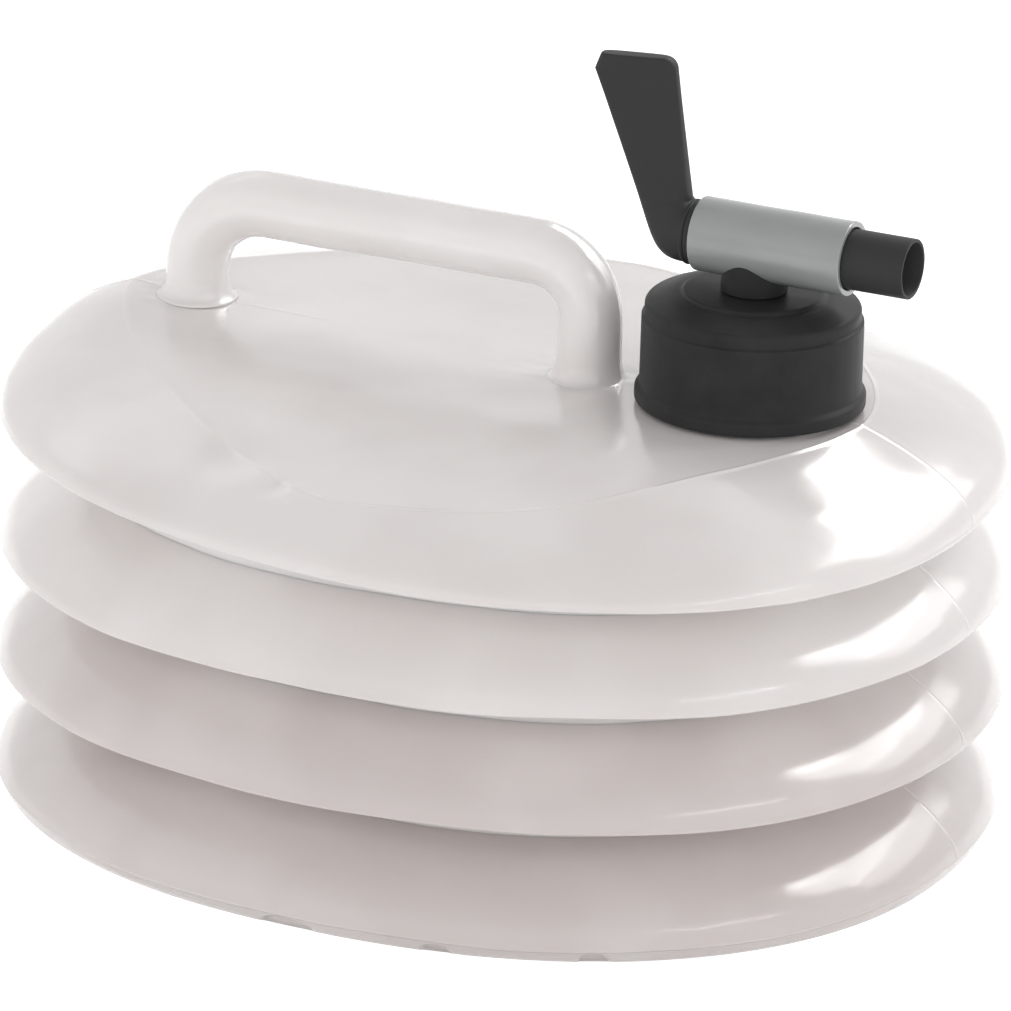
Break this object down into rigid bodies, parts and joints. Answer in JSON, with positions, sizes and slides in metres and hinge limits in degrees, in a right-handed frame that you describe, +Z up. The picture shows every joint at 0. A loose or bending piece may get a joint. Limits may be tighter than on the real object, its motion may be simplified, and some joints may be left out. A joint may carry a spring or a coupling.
{
  "type": "collapsible water carrier",
  "caption": "Collapsible bellows water carrier with a loop handle moulded into its domed top, a screw cap, and a swivelling lever tap with a short spout.",
  "frame": {"origin": "centre of the flat base, on the surface that the carrier stands on", "axes": "+Z up; +X along the container's length, towards the cap and the spout; the handle and the tap lie in the XZ plane"},
  "size_m": [0.27, 0.24, 0.2119],
  "materials": {
    "milky_plastic": "translucent milky white, soft gloss",
    "black_plastic": "satin black",
    "grey_plastic": "glossy light grey",
    "seal_rubber": "matt grey silicone",
    "clip_plastic": "off-white"
  },
  "bodies": {
    "base": {"container_base": "milky_plastic"},
    "lower_tier": {"container_tier_2": "milky_plastic"},
    "upper_tier": {"container_tier_3": "milky_plastic"},
    "top": {"container_top": "milky_plastic"},
    "cap_seal": {"cap_gasket": "seal_rubber"},
    "cap": {"screw_cap": "black_plastic", "stem_washer": "seal_rubber"},
    "tap": {"tap_body": "grey_plastic", "stem_clip": "clip_plastic"},
    "lever": {"lever_spout": "black_plastic", "rear_o_ring": "seal_rubber", "front_o_ring": "seal_rubber"}
  },
  "joints": [
    {"name": "collapse", "type": "slide", "parent": "base", "child": "top", "axis": [0, 0, 1], "range_m": [-0.06, 0], "deforming": ["container_tier_2", "container_tier_3"]},
    {"name": "lower_tier_slide", "type": "slide", "parent": "base", "child": "lower_tier", "axis": [0, 0, 1], "range_m": [-0.02, 0]},
    {"name": "upper_tier_slide", "type": "slide", "parent": "base", "child": "upper_tier", "axis": [0, 0, 1], "range_m": [-0.04, 0]},
    {"name": "cap_lift", "type": "slide", "parent": "top", "child": "cap_seal", "axis": [0, 0, 1], "range_m": [0, 0.008]},
    {"name": "cap_turn", "type": "hinge", "parent": "cap_seal", "child": "cap", "pos_m": [0.07, 0, 0.1471], "axis": [0, 0, 1], "range_deg": [0, 720]},
    {"name": "tap_swivel", "type": "hinge", "parent": "cap", "child": "tap", "pos_m": [0.07, 0, 0.1523], "axis": [0, 0, 1], "continuous": true},
    {"name": "lever_turn", "type": "hinge", "parent": "tap", "child": "lever", "pos_m": [0.07, 0, 0.1655], "axis": [1, 0, 0], "range_deg": [0, 90]}
  ],
  "couplings": [
    {"joint": "lower_tier_slide", "follows": "collapse", "ratio": 0.33333},
    {"joint": "upper_tier_slide", "follows": "collapse", "ratio": 0.66667},
    {"joint": "cap_lift", "follows": "cap_turn", "m_per_rad": 0.00063662}
  ]
}
